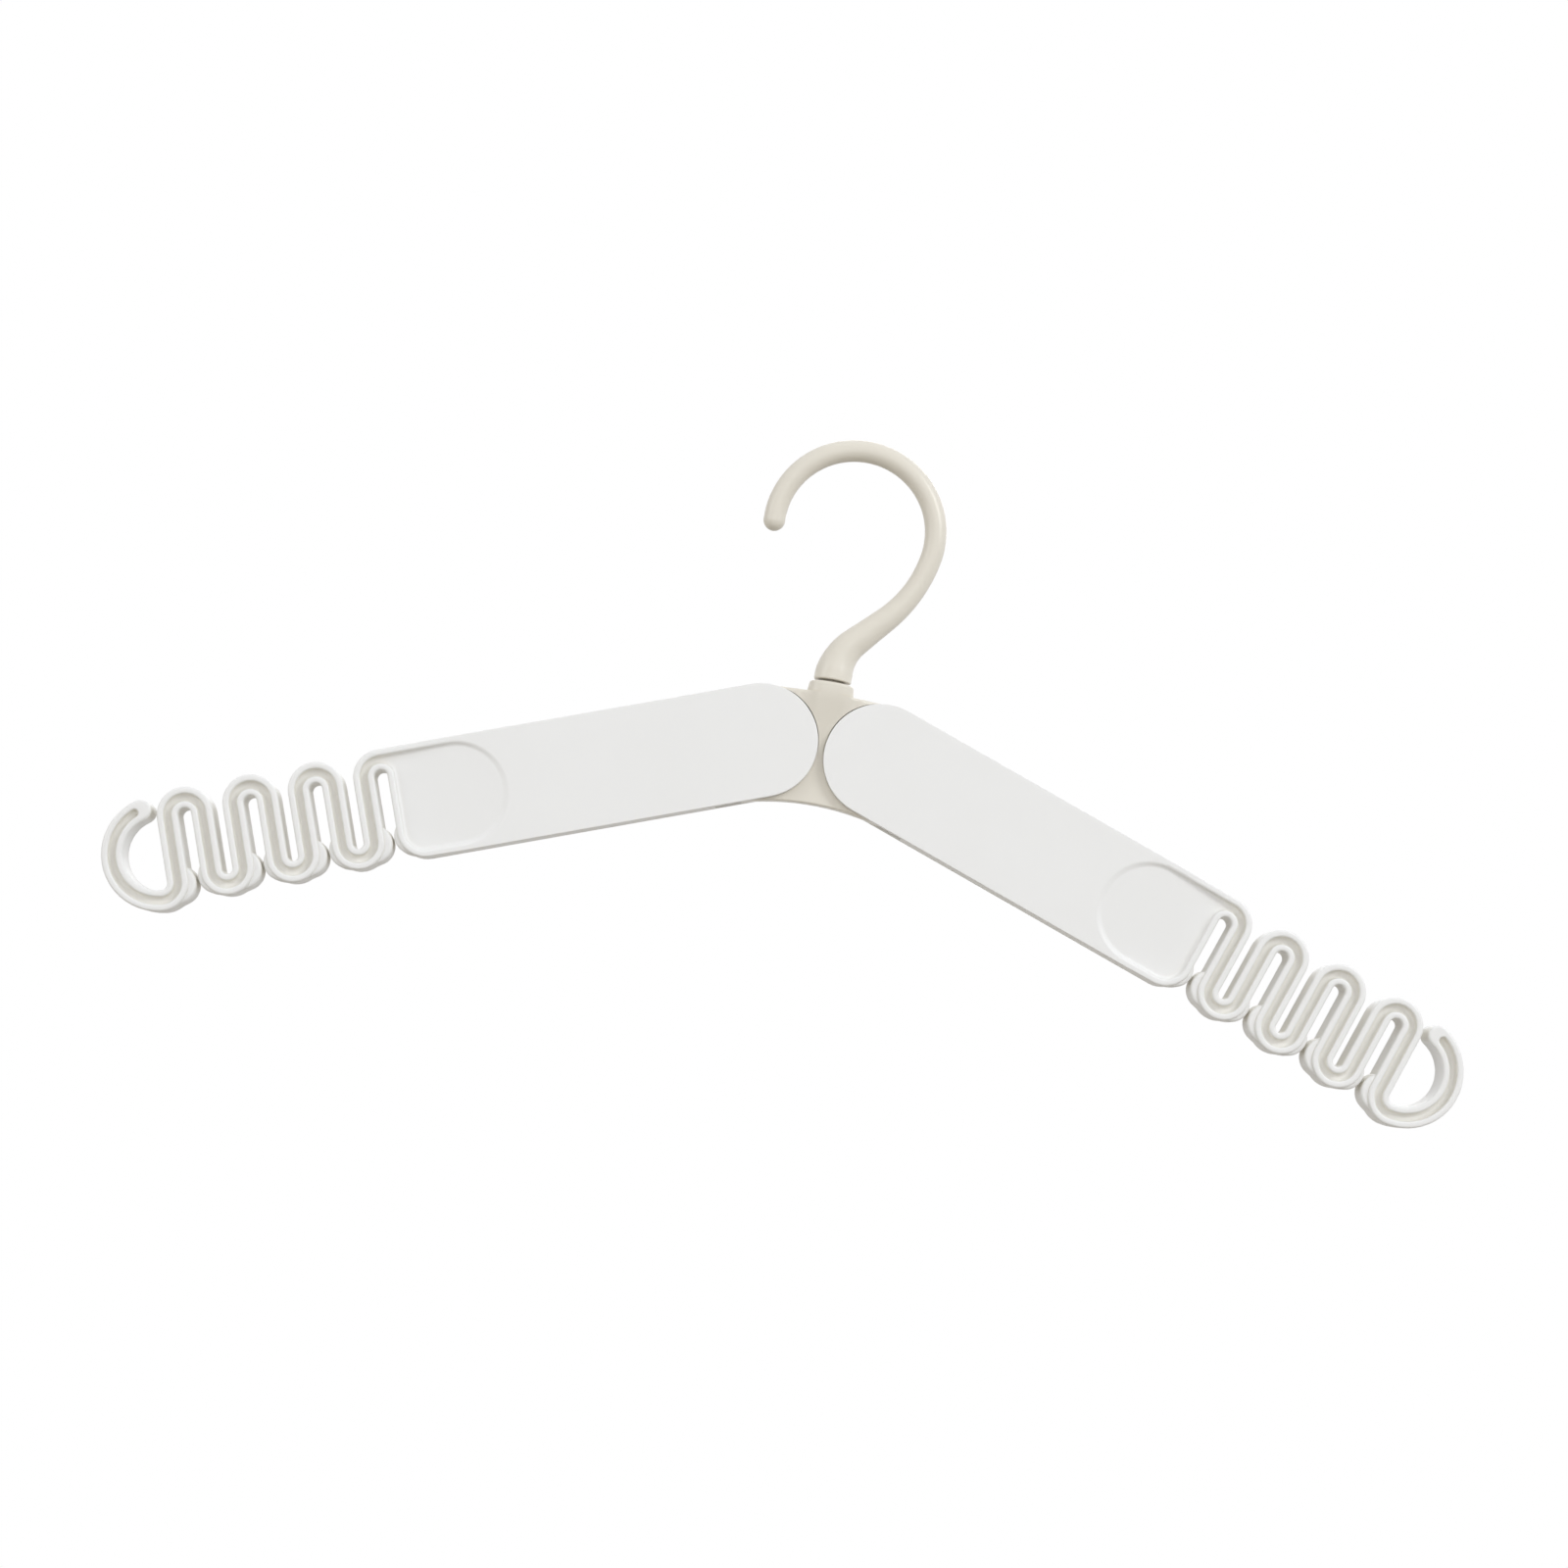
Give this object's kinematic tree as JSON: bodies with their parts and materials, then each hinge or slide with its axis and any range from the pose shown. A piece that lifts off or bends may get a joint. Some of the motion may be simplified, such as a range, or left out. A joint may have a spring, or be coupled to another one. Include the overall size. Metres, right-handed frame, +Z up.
{
  "type": "folding travel hanger",
  "caption": "Plastic clothes hanger with a swivelling hook, a central hub and arms that fold down, each ending in a springy serpentine strip and a strap hook.",
  "frame": {"origin": "inner crown of the hook, where it hangs on a rail, on the swivel axis", "axes": "+Z up along the swivel axis, +X to the viewer's right along the open arms, the front with the recesses faces -Y"},
  "size_m": [0.396, 0.0136, 0.1715],
  "materials": {
    "arm_plastic": "white moulded plastic, satin",
    "hub_plastic": "warm light grey moulded plastic, satin",
    "washer_plastic": "dark acetal washer",
    "steel": "zinc plated screws and spring steel"
  },
  "bodies": {
    "hook": {"hook": "hub_plastic"},
    "hub": {"hub_front_shell": "hub_plastic", "hub_rear_shell": "hub_plastic", "hub_screw_upper": "steel", "hub_screw_lower": "steel", "swivel_washer": "washer_plastic"},
    "right_arm": {"right_arm_front_shell": "arm_plastic", "right_arm_rear_cover": "arm_plastic", "right_pivot_screw": "steel", "right_cover_screw_mid": "steel", "right_cover_screw_end": "steel", "right_detent_spring": "steel"},
    "left_arm": {"left_arm_front_shell": "arm_plastic", "left_arm_rear_cover": "arm_plastic", "left_pivot_screw": "steel", "left_cover_screw_mid": "steel", "left_cover_screw_end": "steel", "left_detent_spring": "steel"}
  },
  "joints": [
    {"name": "hook_swivel", "type": "hinge", "parent": "hook", "child": "hub", "pos_m": [0, 0, -0.0671], "axis": [0, 0, 1], "continuous": true},
    {"name": "right_arm_fold", "type": "hinge", "parent": "hub", "child": "right_arm", "pos_m": [0.0176, 0, -0.08681], "axis": [0, 1, 0], "range_deg": [0, 69]},
    {"name": "left_arm_fold", "type": "hinge", "parent": "hub", "child": "left_arm", "pos_m": [-0.0176, 0, -0.08681], "axis": [0, -1, 0], "range_deg": [0, 69]}
  ]
}
